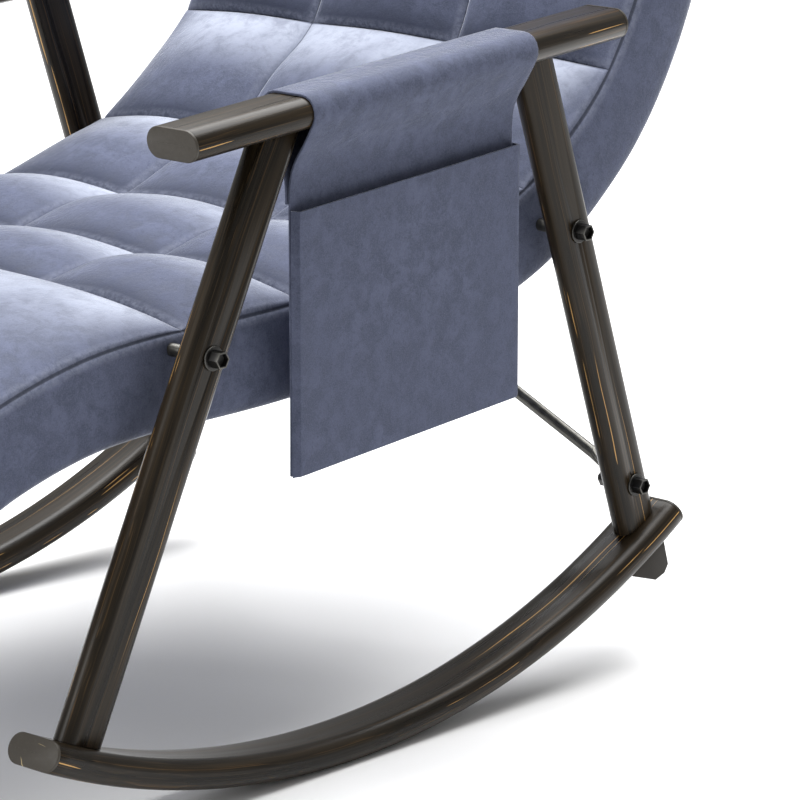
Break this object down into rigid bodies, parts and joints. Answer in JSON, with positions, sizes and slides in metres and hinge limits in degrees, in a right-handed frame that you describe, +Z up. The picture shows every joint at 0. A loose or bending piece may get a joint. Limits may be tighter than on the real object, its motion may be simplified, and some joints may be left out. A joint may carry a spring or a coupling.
{
  "type": "rocking lounge chair",
  "caption": "Rocking lounge chair with flat oval tube side frames on curved runners, one long tufted velvet cushion and an armrest organiser.",
  "frame": {"origin": "on the floor, under the middle of the chair's footprint and midway between the two side frames", "axes": "+Z up; the sitter faces -Y; +X is the sitter's left, where the organiser hangs"},
  "size_m": [0.6596, 1.0886, 0.9844],
  "materials": {
    "grained_tube": "satin",
    "end_cap": "satin",
    "black_steel": "satin",
    "zinc": "satin",
    "velvet": "matte",
    "beech_board": "matte",
    "webbing": "matte",
    "rubber": "matte"
  },
  "bodies": {
    "root": {"armrest_front_cap_left": "end_cap", "armrest_front_cap_right": "end_cap", "armrest_left": "grained_tube", "armrest_rear_cap_left": "end_cap", "armrest_rear_cap_right": "end_cap", "armrest_right": "grained_tube", "cross_rail_front": "beech_board", "cross_rail_middle": "beech_board", "cross_rail_top": "beech_board", "crossing_bolt": "black_steel", "crossing_nut": "black_steel", "front_bolt_left": "black_steel", "front_bolt_right": "black_steel", "front_insert_nut_left": "zinc", "front_insert_nut_right": "zinc", "front_leg_left": "grained_tube", "front_leg_right": "grained_tube", "front_spacer_left": "black_steel", "front_spacer_right": "black_steel", "lounge_cushion": "velvet", "organiser_drape": "velvet", "organiser_pocket": "velvet", "rear_bolt_left": "black_steel", "rear_bolt_right": "black_steel", "rear_insert_nut_left": "zinc", "rear_insert_nut_right": "zinc", "rear_leg_left": "grained_tube", "rear_leg_right": "grained_tube", "rear_spacer_left": "black_steel", "rear_spacer_right": "black_steel", "rocker_front_cap_left": "end_cap", "rocker_front_cap_right": "end_cap", "rocker_left": "grained_tube", "rocker_rear_cap_left": "end_cap", "rocker_rear_cap_right": "end_cap", "rocker_right": "grained_tube", "side_board_left": "beech_board", "side_board_right": "beech_board", "stay_bolt_left": "black_steel", "stay_bolt_right": "black_steel", "stay_left": "black_steel", "stay_nut_left": "black_steel", "stay_nut_right": "black_steel", "stay_right": "black_steel", "stay_screw_left": "black_steel", "stay_screw_right": "black_steel", "tip_stop_left": "rubber", "tip_stop_right": "rubber", "under_cover": "velvet", "web_strap_1": "webbing", "web_strap_2": "webbing", "web_strap_3": "webbing", "web_strap_4": "webbing", "web_strap_5": "webbing", "web_strap_6": "webbing", "web_strap_7": "webbing"}
  },
  "joints": []
}
